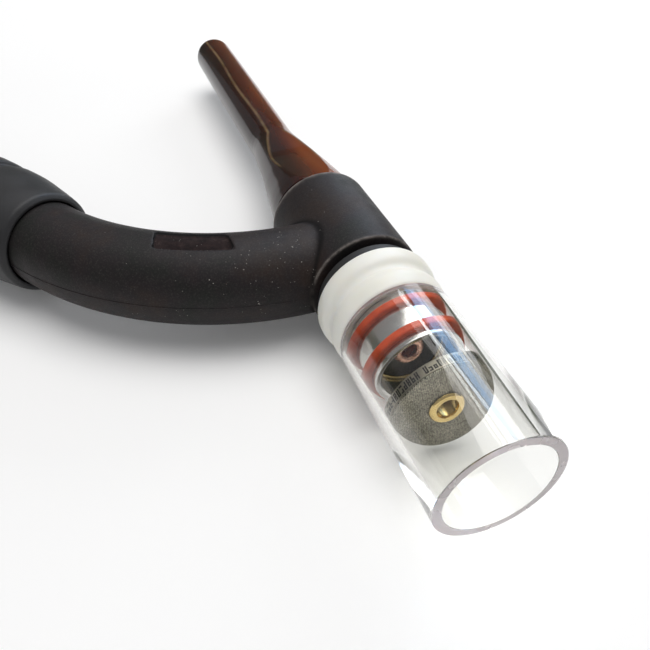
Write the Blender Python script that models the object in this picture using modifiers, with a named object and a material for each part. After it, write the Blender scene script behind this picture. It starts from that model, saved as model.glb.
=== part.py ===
"""Gas-cooled TIG torch with a flexible neck, a long back cap and a clear glass cup.

The head axis is the common line of the cup, the gas lens, the collet and the back cap. Along it,
zero is the plane of the cup's mouth and every other station is negative, towards the back cap.
Along the handle axis, zero is the end of the neck's bend and stations are negative rearwards.
"""
from math import cos, pi, radians, sin, sqrt

import bmesh
import bpy
from mathutils import Matrix, Vector

MM = 0.001
SEGMENTS = 32
FIT = 0.1          # gap between pieces that fit snugly, mm
GAP = 0.3          # gap between pieces that only face each other, mm

# Glass cup
CUP_RADIUS = 11.25
CUP_BORE = 9.52
CUP_LENGTH = 35.8

# Diffuser inside the cup
DIFFUSER_FRONT = -16.5
DIFFUSER_RADIUS = 9.3
SCREEN_THICKNESS = 0.3
SKIRT_HEIGHT = 2.0
SKIRT_WALL = 0.4
EYELET_BORE = 2.0
EYELET_WALL = 0.25
EYELET_FLANGE = 3.3

# Adapter sleeve that carries the cup on two O-rings
ADAPTER_FRONT = -24.6
ADAPTER_RADIUS = 8.48
ADAPTER_BORE = 7.2
ADAPTER_REAR = -43.5
O_RING_CORD = 0.72
O_RING_STATIONS = {"cup_o_ring_front": -26.9, "cup_o_ring_rear": -33.4}
GROOVE_FLOOR = 7.9

# Gas lens and collet
NOSE_FRONT = -29.3
NOSE_RADIUS = 2.9
NOSE_BORE = 1.5
SCREEN_STATIONS = {"lens_screen_front": -30.5, "lens_screen_rear": -32.2}
RETAINER_WIDTH = 0.55
LENS_FRONT = -33.0
LENS_REAR = -45.7
STEM_RADIUS = 5.2
STEM_REAR = -60.0
LENS_BORE = 2.6
COLLET_FRONT = -32.4
COLLET_REAR = -80.0
COLLET_RADIUS = 2.2
COLLET_BORE = 1.25
SLIT_WIDTH = 0.45
SLIT_LENGTH = 18.0

# White insulator and dark gasket
INSULATOR_FRONT = -36.1
INSULATOR_REAR = -46.5
INSULATOR_FLANGE = 12.0
GASKET_REAR = -50.2
GASKET_RADIUS = 10.66

# Head
HEAD_FRONT = -50.5
HEAD_REAR = -78.75
HEAD_RADIUS = 11.4
HEAD_CHAMFER = (2.1, 1.45)
BODY_FRONT = -53.0
BODY_REAR = -76.2
BODY_RADIUS = 8.2

# Neck
NECK_STATION = -59.7
NECK_RADIUS = 9.24
NECK_STRAIGHT = 10.2
BEND_RADIUS = 57.1
BEND_ANGLE = 56.0
NECK_TAIL = 30.0
TUBE_RADIUS = 5.0
TUBE_BORE = 3.6
TUBE_TAIL = 38.0
LABEL_CENTRE = 21.5
LABEL_SIZE = (15.0, 4.9, 0.6)

# Back cap
CAP_FRONT = HEAD_REAR - GAP
CAP_BASE = 10.0
CAP_SHAFT = 5.95
CAP_FLARE = 34.0
CAP_REAR = -190.0
CAP_STEM = 6.3
CAP_STEM_FRONT = -67.5
CAP_SEAL_STATION = -75.0
CAP_SEAL_OUTER = 7.25
SCALLOP_RADIUS = 85.0
SCALLOP_STATION = -107.0
SCALLOP_DIRECTION = 62.5

# Handle
HANDLE_RADIUS = 12.5
HANDLE_FRONT = -2.0
HANDLE_LENGTH = 112.0
HANDLE_BORE = 9.9
RIB_COUNT = 8
RIB_PITCH = 9.0
RIB_FIRST = -18.0
RIB_DEPTH = 0.9
BUSH_BORE = 7.0
HEX_ACROSS_FLATS = 14.0


# ---------------------------------------------------------------- scene and materials

def clear_scene():
    for item in list(bpy.data.objects):
        bpy.data.objects.remove(item, do_unlink=True)


def collection(name):
    group = bpy.data.collections.new(name)
    bpy.context.scene.collection.children.link(group)
    return group


def material(name, colour, roughness, metallic=0.0, transmission=0.0):
    made = bpy.data.materials.new(name)
    made.use_nodes = True
    shader = made.node_tree.nodes["Principled BSDF"]
    shader.inputs["Base Color"].default_value = (*colour, 1.0)
    shader.inputs["Roughness"].default_value = roughness
    shader.inputs["Metallic"].default_value = metallic
    shader.inputs["Transmission Weight"].default_value = transmission
    made.diffuse_color = (*colour, 1.0)
    return made


def make_materials():
    return {
        "glass": material("clear_glass", (0.95, 0.96, 0.95), 0.02, transmission=1.0),
        "mesh": material("steel_mesh", (0.42, 0.40, 0.34), 0.45, 1.0),
        "skirt": material("etched_steel", (0.45, 0.43, 0.38), 0.35, 1.0),
        "brass": material("brass", (0.75, 0.58, 0.25), 0.25, 1.0),
        "polished": material("polished_steel", (0.78, 0.78, 0.77), 0.15, 1.0),
        "red": material("silicone_red", (0.62, 0.11, 0.04), 0.45),
        "copper": material("copper", (0.80, 0.45, 0.32), 0.25, 1.0),
        "white": material("white_insulator", (0.86, 0.85, 0.80), 0.45),
        "gasket": material("gasket_rubber", (0.03, 0.03, 0.03), 0.5),
        "rubber": material("moulded_rubber", (0.035, 0.033, 0.035), 0.6),
        "phenolic": material("brown_phenolic", (0.12, 0.03, 0.015), 0.12),
        "seal": material("seal_rubber", (0.02, 0.02, 0.02), 0.5),
        "handle": material("handle_plastic", (0.04, 0.04, 0.042), 0.5),
        "bush": material("bush_rubber", (0.03, 0.03, 0.03), 0.6),
    }


# ---------------------------------------------------------------- modelling helpers

def empty(name, parent=None, location=(0, 0, 0), rotation=(0, 0, 0)):
    item = bpy.data.objects.new(name, None)
    bpy.context.scene.collection.objects.link(item)
    item.parent = parent
    item.location = [value * MM for value in location]
    item.rotation_euler = rotation
    return item


def add_object(name, mesh, group, parent, look=None):
    item = bpy.data.objects.new(name, mesh)
    group.objects.link(item)
    item.parent = parent
    if look:
        mesh.materials.clear()
        mesh.materials.append(look)
    return item


def hide_as_cutter(item):
    item.hide_render = True
    item.display_type = "WIRE"
    return item


def turned(name, outline, group, parent, look=None, segments=SEGMENTS):
    """Turn an outline of (station, radius) points about the local Z axis.

    The outside runs from front to rear and the inside from rear to front. An outline whose first
    and last points lie on the axis is left open there, and any other one is closed to a ring.
    """
    touches_axis = outline[0][1] == 0 and outline[-1][1] == 0
    points = [(radius * MM, 0, station * MM) for station, radius in outline]
    count = len(points)
    edges = [(i, (i + 1) % count) for i in range(count - 1 if touches_axis else count)]
    mesh = bpy.data.meshes.new(name)
    mesh.from_pydata(points, edges, [])
    item = add_object(name, mesh, group, parent, look)
    screw = item.modifiers.new("turn", "SCREW")
    screw.axis = "Z"
    screw.angle = 2 * pi
    screw.steps = screw.render_steps = segments
    screw.use_merge_vertices = True
    screw.merge_threshold = 1e-6
    screw.use_smooth_shade = True
    return item


def ring(front, rear, outer, inner):
    """Outline of a plain ring."""
    return [(front, outer), (rear, outer), (rear, inner), (front, inner)]


def o_ring_outline(station, centre_radius, cord, points=8):
    """Outline of a round cord, outer side first from front to rear."""
    angles = [2 * pi * (i + 0.5) / points for i in range(points)]
    return [(station + cord * cos(a), centre_radius + cord * sin(a)) for a in angles]


def boolean(item, cutter, operation="DIFFERENCE"):
    modifier = item.modifiers.new(operation.lower(), "BOOLEAN")
    modifier.operation = operation
    modifier.object = cutter
    modifier.solver = "EXACT"
    return modifier


def box(name, centre, size, group, parent):
    mesh = bpy.data.meshes.new(name)
    bm = bmesh.new()
    bmesh.ops.create_cube(bm, size=1.0)
    bmesh.ops.scale(bm, vec=Vector(size) * MM, verts=bm.verts)
    bmesh.ops.translate(bm, vec=Vector(centre) * MM, verts=bm.verts)
    bm.to_mesh(mesh)
    bm.free()
    return add_object(name, mesh, group, parent)


def cylinder(name, radius, length, group, parent, segments, matrix=None):
    mesh = bpy.data.meshes.new(name)
    bm = bmesh.new()
    bmesh.ops.create_cone(
        bm, cap_ends=True, segments=segments, radius1=radius * MM, radius2=radius * MM,
        depth=length * MM)
    if matrix:
        bm.transform(matrix)
    bm.to_mesh(mesh)
    bm.free()
    return add_object(name, mesh, group, parent)


def neck_point(distance):
    """Point of the neck's centreline, in the torch's plane, at a distance from the head axis."""
    if distance <= NECK_STRAIGHT:
        return Vector((NECK_STATION, -distance, 0))
    angle = (distance - NECK_STRAIGHT) / BEND_RADIUS
    end = radians(BEND_ANGLE)
    bend = min(angle, end)
    along = Vector((-sin(bend), -cos(bend), 0))
    start = Vector((NECK_STATION - BEND_RADIUS, -NECK_STRAIGHT, 0))
    on_bend = start + BEND_RADIUS * Vector((cos(bend), -sin(bend), 0))
    return on_bend + along * (angle - bend) * BEND_RADIUS


def bend_end_distance():
    return NECK_STRAIGHT + radians(BEND_ANGLE) * BEND_RADIUS


def neck_tube_mesh(name, first, last, radius, sides, group, parent, look=None, step=4.0):
    """Round bar along the neck's centreline, as a closed mesh."""
    data = bpy.data.curves.new(name, "CURVE")
    data.dimensions = "3D"
    data.bevel_depth = radius * MM
    data.bevel_resolution = (sides - 4) // 2
    data.use_fill_caps = True
    count = int((last - first) / step) + 2
    spline = data.splines.new("POLY")
    spline.points.add(count - 1)
    for i, point in enumerate(spline.points):
        place = neck_point(first + (last - first) * i / (count - 1))
        point.co = (*(place * MM), 1)
    guide = bpy.data.objects.new(name + "_guide", data)
    bpy.context.scene.collection.objects.link(guide)
    bpy.context.view_layer.update()
    graph = bpy.context.evaluated_depsgraph_get()
    mesh = bpy.data.meshes.new_from_object(guide.evaluated_get(graph))
    mesh.name = name
    bpy.data.objects.remove(guide, do_unlink=True)
    bm = bmesh.new()
    bm.from_mesh(mesh)
    bmesh.ops.remove_doubles(bm, verts=bm.verts, dist=1e-6)
    bmesh.ops.recalc_face_normals(bm, faces=bm.faces)
    bm.to_mesh(mesh)
    bm.free()
    mesh.shade_smooth()
    return add_object(name, mesh, group, parent, look)


# ---------------------------------------------------------------- front end

def make_cup(group, axis, looks):
    edge = 0.25
    outline = [
        (-edge, CUP_RADIUS), (edge - CUP_LENGTH, CUP_RADIUS),
        (-CUP_LENGTH, CUP_RADIUS - edge), (-CUP_LENGTH, CUP_BORE + edge),
        (edge - CUP_LENGTH, CUP_BORE), (-edge, CUP_BORE),
        (0, CUP_BORE + edge), (0, CUP_RADIUS - edge)]
    turned("glass_cup", outline, group, axis, looks["glass"], segments=48)


def make_diffuser(group, axis, looks):
    front = DIFFUSER_FRONT
    barrel = EYELET_BORE + EYELET_WALL
    behind_screen = front - SCREEN_THICKNESS
    skirt_front = behind_screen - FIT
    skirt_rear = skirt_front - SKIRT_HEIGHT
    rear_screen = skirt_rear + SCREEN_THICKNESS + 2 * FIT
    turned("diffuser_screen_front", ring(front, behind_screen, DIFFUSER_RADIUS, barrel + FIT),
           group, axis, looks["mesh"])
    turned("diffuser_skirt",
           ring(skirt_front, skirt_rear, DIFFUSER_RADIUS, DIFFUSER_RADIUS - SKIRT_WALL),
           group, axis, looks["skirt"])
    turned("diffuser_screen_rear",
           ring(rear_screen, rear_screen - SCREEN_THICKNESS,
                DIFFUSER_RADIUS - SKIRT_WALL - FIT, barrel + FIT),
           group, axis, looks["mesh"])
    lip = front + FIT
    tail = rear_screen - SCREEN_THICKNESS - FIT
    flange = EYELET_FLANGE
    outline = [
        (lip + 0.45, barrel + 0.1), (lip + 0.40, flange - 0.45), (lip + 0.15, flange - 0.05),
        (lip, flange), (lip, barrel), (tail, barrel), (tail, flange - 0.4),
        (tail - 0.25, flange - 0.5), (tail - 0.3, EYELET_BORE + 0.2),
        (tail - 0.2, EYELET_BORE), (lip + 0.2, EYELET_BORE), (lip + 0.4, EYELET_BORE + 0.12)]
    turned("diffuser_eyelet", outline, group, axis, looks["brass"], segments=24)


def make_adapter(group, axis, looks):
    half = O_RING_CORD + FIT
    step = INSULATOR_FRONT + GAP
    rear_radius = ADAPTER_RADIUS - 0.5
    rear = ADAPTER_REAR
    outline = [(ADAPTER_FRONT, ADAPTER_RADIUS - 0.15), (ADAPTER_FRONT - 0.15, ADAPTER_RADIUS)]
    for station in O_RING_STATIONS.values():
        outline += [
            (station + half, ADAPTER_RADIUS), (station + half, GROOVE_FLOOR),
            (station - half, GROOVE_FLOOR), (station - half, ADAPTER_RADIUS)]
    outline += [
        (step, ADAPTER_RADIUS), (step, rear_radius), (rear, rear_radius), (rear, ADAPTER_BORE),
        (ADAPTER_FRONT - 0.5, ADAPTER_BORE), (ADAPTER_FRONT, ADAPTER_BORE + 0.5)]
    turned("cup_adapter", outline, group, axis, looks["polished"])


def make_cup_o_rings(group, axis, looks):
    centre = CUP_BORE - FIT - O_RING_CORD
    for name, station in O_RING_STATIONS.items():
        turned(name, o_ring_outline(station, centre, O_RING_CORD), group, axis, looks["red"])


# ---------------------------------------------------------------- gas lens, collet and insulator

def make_gas_lens(group, axis, looks):
    snug = ADAPTER_BORE - FIT
    for name, station in SCREEN_STATIONS.items():
        turned(name, ring(station, station - SCREEN_THICKNESS, snug, NOSE_RADIUS + FIT),
               group, axis, looks["mesh"])
    retainer_rear = SCREEN_STATIONS["lens_screen_front"] + FIT
    turned("lens_retainer",
           ring(retainer_rear + 0.5, retainer_rear, snug, snug - RETAINER_WIDTH),
           group, axis, looks["brass"])
    seat = NOSE_BORE + 1.1
    nose = [
        (NOSE_FRONT, NOSE_RADIUS - 0.6), (NOSE_FRONT - 0.5, NOSE_RADIUS),
        (LENS_FRONT - 4.0, NOSE_RADIUS), (LENS_FRONT - 4.0, seat),
        (COLLET_FRONT + 1.2, seat), (COLLET_FRONT + 2.2, NOSE_BORE),
        (NOSE_FRONT - 0.3, NOSE_BORE), (NOSE_FRONT, NOSE_BORE + 0.3)]
    turned("lens_nose", nose, group, axis, looks["copper"], segments=24)
    body = [
        (LENS_FRONT, snug), (LENS_REAR, snug), (LENS_REAR, STEM_RADIUS),
        (STEM_REAR + 0.6, STEM_RADIUS), (STEM_REAR, STEM_RADIUS - 0.6),
        (STEM_REAR, LENS_BORE), (LENS_FRONT - 4.0 - GAP, LENS_BORE),
        (LENS_FRONT - 4.0 - GAP, NOSE_RADIUS + FIT), (LENS_FRONT, NOSE_RADIUS + FIT)]
    turned("lens_body", body, group, axis, looks["brass"])


def make_collet(group, axis, cutters, looks):
    tip = COLLET_RADIUS - 0.6
    outline = [
        (COLLET_FRONT, tip), (COLLET_FRONT - 1.2, COLLET_RADIUS), (COLLET_REAR, COLLET_RADIUS),
        (COLLET_REAR, COLLET_BORE), (COLLET_FRONT, COLLET_BORE)]
    collet = turned("collet", outline, group, axis, looks["copper"], segments=24)
    wide = 4 * COLLET_RADIUS
    middle = (0, 0, COLLET_FRONT - SLIT_LENGTH / 2 + 1.0)
    length = SLIT_LENGTH + 2.0
    for name, size in (("collet_slit_x", (wide, SLIT_WIDTH, length)),
                       ("collet_slit_y", (SLIT_WIDTH, wide, length))):
        boolean(collet, hide_as_cutter(box(name, middle, size, cutters, axis)))


def make_insulator(group, axis, looks):
    front, rear, flange = INSULATOR_FRONT, INSULATOR_REAR, INSULATOR_FLANGE
    adapter_seat = ADAPTER_RADIUS - 0.5 + FIT
    seat_end = ADAPTER_REAR - GAP
    outline = [
        (front, 10.6), (front - 0.4, 11.05), (front - 1.6, 11.35), (front - 3.1, 11.5),
        (front - 4.1, 11.3), (front - 5.0, 11.0), (front - 5.9, 11.15), (front - 6.7, 11.7),
        (front - 7.6, flange), (rear + 1.2, flange), (rear + 0.3, flange - 0.25),
        (rear, flange - 0.7), (rear, ADAPTER_BORE + FIT), (seat_end, ADAPTER_BORE + FIT),
        (seat_end, adapter_seat), (front, adapter_seat)]
    turned("insulator", outline, group, axis, looks["white"])


def make_gasket(group, axis, looks):
    front = INSULATOR_REAR - GAP
    step = front - 2.2
    outline = [
        (front, GASKET_RADIUS - 0.2), (front - 0.2, GASKET_RADIUS), (step, GASKET_RADIUS),
        (step, GASKET_RADIUS - 1.5), (GASKET_REAR, GASKET_RADIUS - 1.5),
        (GASKET_REAR, STEM_RADIUS + GAP), (front, STEM_RADIUS + GAP)]
    turned("front_gasket", outline, group, axis, looks["gasket"])


# ---------------------------------------------------------------- head and neck

def make_torch_body(group, axis, cutters, looks):
    thread_end = STEM_REAR - 1.5
    cap_thread_end = CAP_STEM_FRONT + 1.0
    seal_end = CAP_SEAL_STATION + 1.5
    outline = [
        (BODY_FRONT, BODY_RADIUS), (BODY_REAR, BODY_RADIUS), (BODY_REAR, CAP_SEAL_OUTER + FIT),
        (seal_end, CAP_SEAL_OUTER + FIT), (seal_end, CAP_STEM + GAP),
        (cap_thread_end, CAP_STEM + GAP), (cap_thread_end, LENS_BORE + 1.0),
        (thread_end, LENS_BORE + 1.0), (thread_end, STEM_RADIUS + GAP),
        (BODY_FRONT, STEM_RADIUS + GAP)]
    body = turned("torch_body", outline, group, axis, looks["brass"])
    port = cylinder("gas_port", TUBE_BORE, 12.0, cutters, axis, 16,
                    Matrix.Translation(Vector((0, -BODY_RADIUS, NECK_STATION)) * MM)
                    @ Matrix.Rotation(pi / 2, 4, "X"))
    boolean(body, hide_as_cutter(port))


def make_rubber_body(group, torch, axis, cutters, looks):
    chamfer_length, chamfer_depth = HEAD_CHAMFER
    edge = 0.35
    outline = [
        (HEAD_FRONT, 0), (HEAD_FRONT, HEAD_RADIUS - edge), (HEAD_FRONT - edge, HEAD_RADIUS),
        (HEAD_REAR + chamfer_length, HEAD_RADIUS), (HEAD_REAR, HEAD_RADIUS - chamfer_depth),
        (HEAD_REAR, 0)]
    head = turned("rubber_body", outline, group, axis, looks["rubber"], segments=40)
    last = bend_end_distance() + NECK_TAIL
    neck = neck_tube_mesh("neck_moulding", 2.0, last, NECK_RADIUS, 32, cutters, torch, step=6.0)
    boolean(head, hide_as_cutter(neck), "UNION")
    bore = [
        (HEAD_FRONT + 1.0, 0), (HEAD_FRONT + 1.0, STEM_RADIUS + 1.0),
        (BODY_FRONT + GAP, STEM_RADIUS + 1.0), (BODY_FRONT + GAP, BODY_RADIUS + GAP),
        (BODY_REAR - GAP, BODY_RADIUS + GAP), (BODY_REAR - GAP, CAP_STEM + 1.2),
        (HEAD_REAR - 1.0, CAP_STEM + 1.2), (HEAD_REAR - 1.0, 0)]
    boolean(head, hide_as_cutter(turned("head_bore", bore, cutters, axis)))
    tube_bore = neck_tube_mesh("neck_bore", 6.0, last + 2.0, TUBE_RADIUS + GAP, 20, cutters, torch,
                              step=8.0)
    boolean(head, hide_as_cutter(tube_bore))
    boolean(head, hide_as_cutter(make_label_cutter(cutters, torch)))


def make_label_cutter(cutters, torch):
    """Bar that follows the bend and leaves a shallow rectangular recess on the upper side."""
    length, width, depth = LABEL_SIZE
    floor = NECK_RADIUS - depth
    mesh = bpy.data.meshes.new("label_recess")
    bm = bmesh.new()
    sweep = length / BEND_RADIUS
    middle = LABEL_CENTRE / BEND_RADIUS
    centre = Vector((NECK_STATION - BEND_RADIUS, -NECK_STRAIGHT, 0)) * MM
    corners = [(side * width / 2, height) for side, height in
               ((-1, floor), (1, floor), (1, NECK_RADIUS + 1.0), (-1, NECK_RADIUS + 1.0))]
    verts = [bm.verts.new(centre + Vector((BEND_RADIUS + x, 0, z)) * MM) for x, z in corners]
    face = bm.faces.new(verts)
    start = Matrix.Rotation(-(middle - sweep / 2), 3, "Z")
    bmesh.ops.rotate(bm, cent=centre, matrix=start, verts=bm.verts)
    bmesh.ops.spin(bm, geom=[face] + face.edges[:] + face.verts[:], cent=centre, axis=(0, 0, 1),
                   angle=-sweep, steps=8, use_duplicate=False)
    bmesh.ops.holes_fill(bm, edges=bm.edges)
    bmesh.ops.recalc_face_normals(bm, faces=bm.faces)
    bm.to_mesh(mesh)
    bm.free()
    return add_object("label_recess", mesh, cutters, torch)


def make_neck_tube(group, torch, cutters, looks):
    first = BODY_RADIUS + GAP
    last = bend_end_distance() + TUBE_TAIL
    tube = neck_tube_mesh("neck_tube", first, last, TUBE_RADIUS, 16, group, torch,
                          looks["copper"], step=8.0)
    bore = neck_tube_mesh("tube_bore", first - 1.0, last + 1.0, TUBE_BORE, 12, cutters, torch,
                          step=8.0)
    boolean(tube, hide_as_cutter(bore))


# ---------------------------------------------------------------- back cap

def cap_flare_radius(fraction):
    """Radius of the bell between the base, at 0, and the shaft, at 1."""
    swell = 1 + 0.55 * fraction - 0.75 * fraction ** 2
    return CAP_SHAFT + (CAP_BASE - CAP_SHAFT) * (1 - fraction) * swell


def make_back_cap(group, axis, cutters, looks):
    groove = CAP_STEM - 0.95
    half = 0.9 + FIT
    bore, narrow = COLLET_RADIUS + 0.8, COLLET_RADIUS - 0.3
    step = COLLET_REAR - GAP
    bore_end = CAP_REAR + 6.0
    outline = [
        (bore_end, 0), (bore_end, narrow), (step, narrow), (step, bore),
        (CAP_STEM_FRONT, bore), (CAP_STEM_FRONT, CAP_STEM - 0.6),
        (CAP_STEM_FRONT - 0.6, CAP_STEM), (CAP_SEAL_STATION + half, CAP_STEM),
        (CAP_SEAL_STATION + half, groove), (CAP_SEAL_STATION - half, groove),
        (CAP_SEAL_STATION - half, CAP_STEM), (CAP_FRONT, CAP_STEM),
        (CAP_FRONT, CAP_BASE - 0.2), (CAP_FRONT - 0.2, CAP_BASE)]
    steps = 12
    outline += [(CAP_FRONT - 0.2 - CAP_FLARE * i / steps, cap_flare_radius(i / steps))
                for i in range(1, steps + 1)]
    dome = 5
    outline += [(CAP_REAR + CAP_SHAFT * (1 - sin(pi / 2 * i / dome)),
                 CAP_SHAFT * cos(pi / 2 * i / dome)) for i in range(dome)]
    outline.append((CAP_REAR, 0))
    cap = turned("back_cap", outline, group, axis, looks["phenolic"])
    reach = SCALLOP_RADIUS + CAP_SHAFT + 0.05
    for i in range(3):
        turn = radians(SCALLOP_DIRECTION + 120 * i)
        place = (Matrix.Rotation(turn, 4, "Z")
                 @ Matrix.Translation(Vector((reach, 0, SCALLOP_STATION)) * MM)
                 @ Matrix.Rotation(pi / 2, 4, "X"))
        name = "cap_scallop_%d" % (i + 1)
        boolean(cap, hide_as_cutter(
            cylinder(name, SCALLOP_RADIUS, 24.0, cutters, axis, 120, place)))
    centre = CAP_SEAL_OUTER - 0.9
    turned("back_cap_o_ring", o_ring_outline(CAP_SEAL_STATION, centre, 0.9), group, axis,
           looks["seal"])


# ---------------------------------------------------------------- handle

def make_handle(group, axis, looks):
    rear = HANDLE_FRONT - HANDLE_LENGTH
    nose = HANDLE_RADIUS - 1.1
    outline = [(HANDLE_FRONT, NECK_RADIUS + GAP + 0.5), (HANDLE_FRONT - 0.8, nose - 0.4),
               (HANDLE_FRONT - 3.0, nose), (HANDLE_FRONT - 11.0, HANDLE_RADIUS)]
    land = RIB_PITCH * 0.6
    for i in range(RIB_COUNT):
        start = RIB_FIRST - RIB_PITCH * i
        slope = 0.6
        outline += [(start, HANDLE_RADIUS), (start - slope, HANDLE_RADIUS - RIB_DEPTH),
                    (start - RIB_PITCH + land, HANDLE_RADIUS - RIB_DEPTH),
                    (start - RIB_PITCH + land - slope, HANDLE_RADIUS)]
    outline += [
        (rear + 1.2, HANDLE_RADIUS), (rear + 0.35, HANDLE_RADIUS - 0.35),
        (rear, HANDLE_RADIUS - 1.2), (rear, HANDLE_BORE),
        (HANDLE_FRONT - NECK_TAIL - 1.0, HANDLE_BORE),
        (HANDLE_FRONT - NECK_TAIL, NECK_RADIUS + GAP), (HANDLE_FRONT, NECK_RADIUS + GAP)]
    turned("handle", outline, group, axis, looks["handle"])


def make_cable_bush(group, axis, looks):
    face = HANDLE_FRONT - HANDLE_LENGTH - GAP
    flange = HANDLE_RADIUS - 1.6
    outline = [
        (face + 8.0, HANDLE_BORE - FIT), (face, HANDLE_BORE - FIT), (face, flange),
        (face - 2.0, flange), (face - 2.8, flange - 0.8), (face - 2.8, BUSH_BORE),
        (face + 8.0, BUSH_BORE)]
    turned("cable_bush", outline, group, axis, looks["bush"])


def make_cable_fitting(group, axis, cutters, looks):
    front = -(NECK_TAIL + 1.0)
    socket_end = -(TUBE_TAIL + GAP)
    rear = socket_end - 17.0
    thread = 5.6
    outline = [
        (front, 6.6), (socket_end, 6.6), (socket_end - 3.0, 6.6), (socket_end - 3.4, thread),
        (rear + 1.0, thread), (rear, thread - 0.9), (rear, TUBE_BORE),
        (socket_end, TUBE_BORE), (socket_end, TUBE_RADIUS + FIT), (front, TUBE_RADIUS + FIT)]
    fitting = turned("cable_fitting", outline, group, axis, looks["brass"], segments=24)
    corner_radius = HEX_ACROSS_FLATS / sqrt(3)
    length = 5.0
    hexagon = cylinder("fitting_hexagon", corner_radius, length, cutters, axis, 6,
                       Matrix.Translation((0, 0, (socket_end + length / 2) * MM)))
    bore = cylinder("fitting_hexagon_bore", TUBE_RADIUS + FIT + 0.4, length + 2, cutters, axis, 24,
                    Matrix.Translation((0, 0, (socket_end + length / 2) * MM)))
    boolean(hexagon, hide_as_cutter(bore))
    boolean(fitting, hide_as_cutter(hexagon), "UNION")


# ---------------------------------------------------------------- assembly

def footprint_shift(group):
    """Move that puts the origin under the middle of the torch, on the surface it lies on."""
    bpy.context.view_layer.update()
    graph = bpy.context.evaluated_depsgraph_get()
    corners = []
    for item in group.objects:
        mesh = item.evaluated_get(graph).to_mesh()
        corners += [item.matrix_world @ vertex.co for vertex in mesh.vertices]
    low = Vector([min(point[i] for point in corners) for i in range(3)])
    high = Vector([max(point[i] for point in corners) for i in range(3)])
    return Vector((-(low.x + high.x) / 2, -(low.y + high.y) / 2, -low.z))


def build():
    clear_scene()
    parts = collection("tig_torch")
    cutters = collection("cutters")
    looks = make_materials()
    torch = empty("torch")
    head_axis = empty("head_axis", torch, rotation=(0, pi / 2, 0))
    handle_axis = empty("handle_axis", torch, location=neck_point(bend_end_distance()),
                        rotation=(0, pi / 2, radians(90 - BEND_ANGLE)))
    make_cup(parts, head_axis, looks)
    make_diffuser(parts, head_axis, looks)
    make_adapter(parts, head_axis, looks)
    make_cup_o_rings(parts, head_axis, looks)
    make_gas_lens(parts, head_axis, looks)
    make_collet(parts, head_axis, cutters, looks)
    make_insulator(parts, head_axis, looks)
    make_gasket(parts, head_axis, looks)
    make_torch_body(parts, head_axis, cutters, looks)
    make_rubber_body(parts, torch, head_axis, cutters, looks)
    make_neck_tube(parts, torch, cutters, looks)
    make_back_cap(parts, head_axis, cutters, looks)
    make_handle(parts, handle_axis, looks)
    make_cable_bush(parts, handle_axis, looks)
    make_cable_fitting(parts, handle_axis, cutters, looks)
    torch.location = footprint_shift(parts)
    bpy.context.view_layer.update()


build()
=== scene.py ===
"""Looks of a gas-cooled TIG torch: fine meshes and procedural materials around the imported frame.

Lengths in the outlines are millimetres. Along the head axis zero is the plane of the cup's mouth
and stations are negative towards the back cap; along the handle axis zero is the end of the neck's
bend and stations are negative rearwards.
"""
import math
import random

import bmesh
import bpy
import numpy as np
from mathutils import Matrix, Quaternion, Vector


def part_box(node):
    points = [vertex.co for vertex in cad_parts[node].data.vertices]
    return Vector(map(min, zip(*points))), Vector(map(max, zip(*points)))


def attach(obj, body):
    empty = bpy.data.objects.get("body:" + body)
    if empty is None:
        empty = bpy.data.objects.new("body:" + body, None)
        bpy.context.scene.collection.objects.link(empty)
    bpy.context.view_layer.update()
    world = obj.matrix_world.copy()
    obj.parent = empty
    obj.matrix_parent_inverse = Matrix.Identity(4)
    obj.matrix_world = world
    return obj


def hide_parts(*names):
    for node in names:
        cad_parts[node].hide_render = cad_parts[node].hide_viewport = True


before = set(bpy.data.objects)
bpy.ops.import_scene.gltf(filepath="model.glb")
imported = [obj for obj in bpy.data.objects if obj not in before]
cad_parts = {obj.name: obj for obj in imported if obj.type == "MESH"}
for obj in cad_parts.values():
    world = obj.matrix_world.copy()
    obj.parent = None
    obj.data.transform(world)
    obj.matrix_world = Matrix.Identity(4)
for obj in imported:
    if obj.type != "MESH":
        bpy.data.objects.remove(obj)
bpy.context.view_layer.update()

MM = 0.001
TAU = 2 * math.pi

LATHE_LINE = 0.10
LATHE_MARK_DRIFT = 0.02
MESH_WIRE = 0.31
THREAD_PITCH = 1.27
THREAD_DEPTH = 0.28
LIGHT_BOUNCES = 40

# Neck, as the frame has it
NECK_STATION = -59.7
NECK_RADIUS = 9.24
NECK_STRAIGHT = 10.2
BEND_RADIUS = 57.1
BEND_ANGLE = math.radians(56)
HEAD_FRONT = -50.5
HEAD_REAR = -78.75
HEAD_RADIUS = 11.4

cup_low, cup_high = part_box("glass_cup")
MOUTH = Vector((cup_high.x, (cup_low.y + cup_high.y) / 2, (cup_low.z + cup_high.z) / 2))
HEAD_AXIS = Matrix.Translation(MOUTH)
BEND_END = MOUTH + MM * Vector((
    NECK_STATION - BEND_RADIUS * (1 - math.cos(BEND_ANGLE)),
    -NECK_STRAIGHT - BEND_RADIUS * math.sin(BEND_ANGLE), 0))
HANDLE_AXIS = Matrix.Translation(BEND_END) @ Matrix.Rotation(math.pi / 2 - BEND_ANGLE, 4, "Z")


# ---------------------------------------------------------------- shader nodes

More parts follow.
